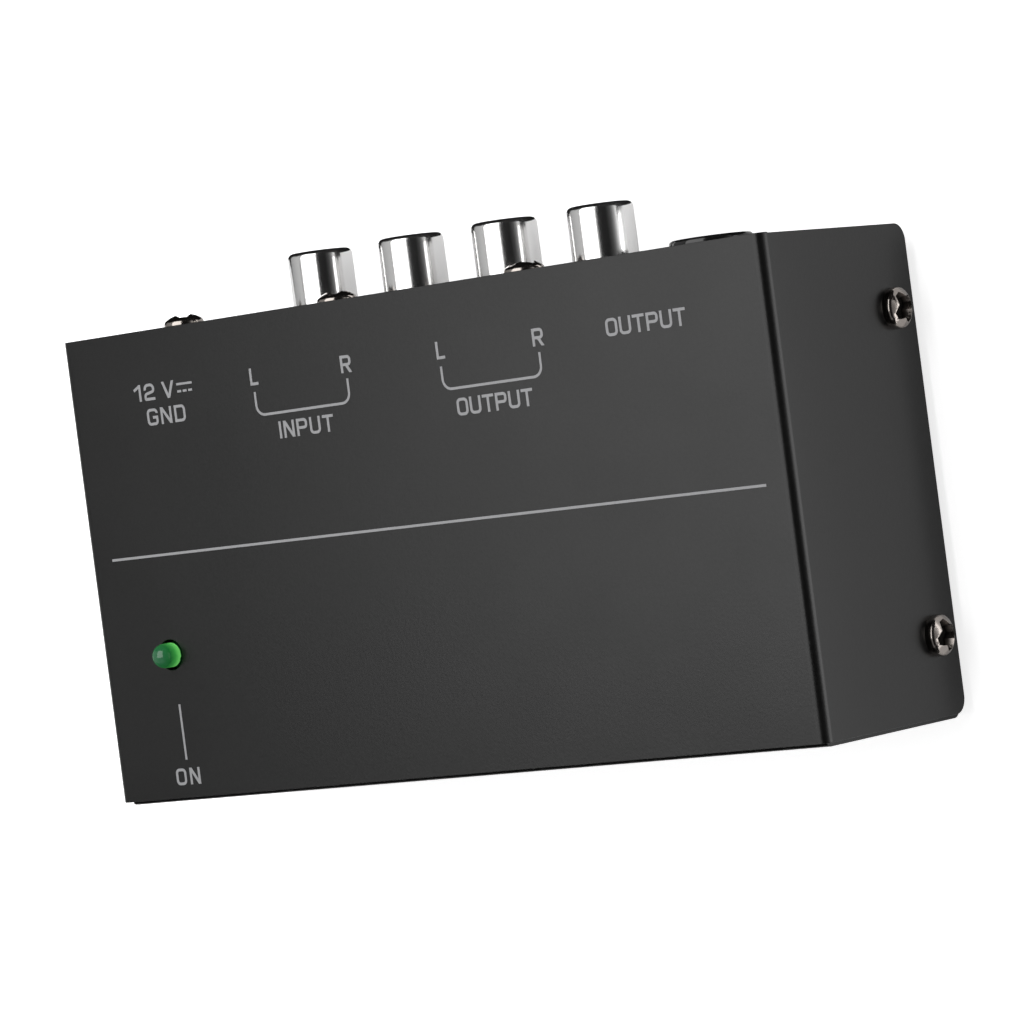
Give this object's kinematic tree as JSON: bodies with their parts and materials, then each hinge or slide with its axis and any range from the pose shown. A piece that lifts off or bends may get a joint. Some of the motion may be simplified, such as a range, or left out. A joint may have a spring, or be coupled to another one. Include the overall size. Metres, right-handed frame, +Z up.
{
  "type": "phono preamplifier",
  "caption": "Compact phono preamplifier in a folded black steel case with RCA jack pairs, a 6.35 mm output jack, a supply inlet, a ground terminal screw and a green power lamp.",
  "frame": {"origin": "on the supporting surface, under the middle of the overall box", "axes": "+X to the right seen from the front, +Y towards the rear panel with the connectors, +Z up"},
  "size_m": [0.1084, 0.065, 0.0349],
  "materials": {
    "powder_coat": "fine-grained black powder coat on folded steel",
    "black_nickel": "black nickel plated steel",
    "shell_plating": "bright nickel plate on rolled steel",
    "insulator_plastic": "moulded, satin",
    "contact_brass": "tinned brass and bronze",
    "moulded_plastic": "moulded black, matt",
    "nose_plastic": "moulded black, glossy",
    "rubber": "black rubber",
    "board_laminate": "green lacquered glass laminate",
    "zinc_steel": "zinc plated steel",
    "component_plastic": "black epoxy",
    "film_plastic": "dipped film capacitor",
    "can_sleeve": "sleeved aluminium can",
    "resistor_lacquer": "lacquered",
    "tinned_wire": "tinned copper",
    "green_lens": "green tinted clear epoxy",
    "spacer_nylon": "natural nylon",
    "wire_cover": "black insulated wire"
  },
  "bodies": {
    "case": {"amplifier_legs": "tinned_wire", "amplifiers": "component_plastic", "board_screws": "zinc_steel", "chassis": "powder_coat", "circuit_board": "board_laminate", "cover": "powder_coat", "cover_screws": "black_nickel", "diode_leads": "tinned_wire", "film_capacitors": "film_plastic", "foot_front_left": "rubber", "foot_front_right": "rubber", "foot_rear_left": "rubber", "foot_rear_right": "rubber", "ground_lug": "contact_brass", "ground_nut": "zinc_steel", "ground_wire": "wire_cover", "inlet_housing": "moulded_plastic", "inlet_pin": "contact_brass", "inlet_spring": "contact_brass", "input_jack_block": "moulded_plastic", "input_left_contact": "contact_brass", "input_left_insulator": "insulator_plastic", "input_left_shell": "shell_plating", "input_right_contact": "contact_brass", "input_right_insulator": "insulator_plastic", "input_right_shell": "shell_plating", "jack_screws": "black_nickel", "lamp_leads": "tinned_wire", "lamp_lens": "green_lens", "lamp_spacer": "spacer_nylon", "output_jack_block": "moulded_plastic", "output_jack_housing": "nose_plastic", "output_jack_leaves": "contact_brass", "output_left_contact": "contact_brass", "output_left_insulator": "insulator_plastic", "output_left_shell": "shell_plating", "output_right_contact": "contact_brass", "output_right_insulator": "insulator_plastic", "output_right_shell": "shell_plating", "protection_diode": "component_plastic", "regulator": "component_plastic", "regulator_legs": "tinned_wire", "resistor_leads": "tinned_wire", "resistors": "resistor_lacquer", "signal_capacitors": "can_sleeve", "standoffs": "zinc_steel", "supply_capacitors": "can_sleeve"},
    "ground_screw": {"ground_screw": "black_nickel"}
  },
  "joints": [
    {"name": "ground_screw_travel", "type": "slide", "parent": "case", "child": "ground_screw", "axis": [0, 1, 0], "range_m": [0, 0.002]}
  ]
}
